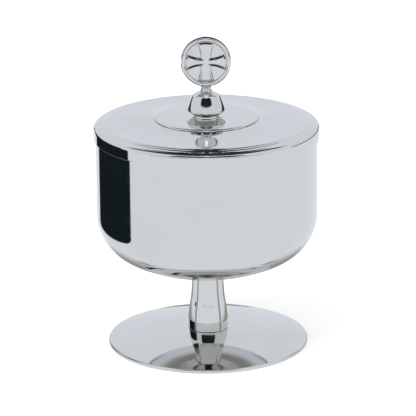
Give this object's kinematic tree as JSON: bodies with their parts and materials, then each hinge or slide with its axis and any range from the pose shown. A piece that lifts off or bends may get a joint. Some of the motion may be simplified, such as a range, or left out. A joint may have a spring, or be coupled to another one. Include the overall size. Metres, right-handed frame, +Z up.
{
  "type": "ciborium",
  "caption": "Lidded altar cup of polished metal on a low domed foot, with a turned knob and a ringed cross on the lid.",
  "frame": {"origin": "centre of the flat ring that the foot stands on", "axes": "+Z up along the vessel's axis, the cross faces -Y and +Y, +X to the right seen from the front"},
  "size_m": [0.1504, 0.1504, 0.2115],
  "materials": {
    "polished_metal": "mirror polished, silver coloured",
    "cast_metal": "cast, then polished, a little softer than the spun shells",
    "plain_steel": "as turned"
  },
  "bodies": {
    "stand": {"foot_shell": "polished_metal", "stem": "polished_metal", "bowl_shell": "polished_metal", "bowl_boss": "plain_steel", "tie_rod": "plain_steel", "foot_washer": "plain_steel", "foot_nut": "plain_steel"},
    "lid": {"lid_shell": "polished_metal", "lid_centre_disc": "polished_metal", "finial_neck": "polished_metal", "finial_bell": "polished_metal", "finial_collar": "polished_metal", "medallion_ring": "polished_metal", "medallion_cross": "cast_metal", "finial_stud": "plain_steel", "lid_washer": "polished_metal", "lid_cap_nut": "polished_metal"}
  },
  "joints": [
    {"name": "lid_lift", "type": "slide", "parent": "stand", "child": "lid", "axis": [0, 0, 1], "range_m": [0, 0.08]}
  ]
}
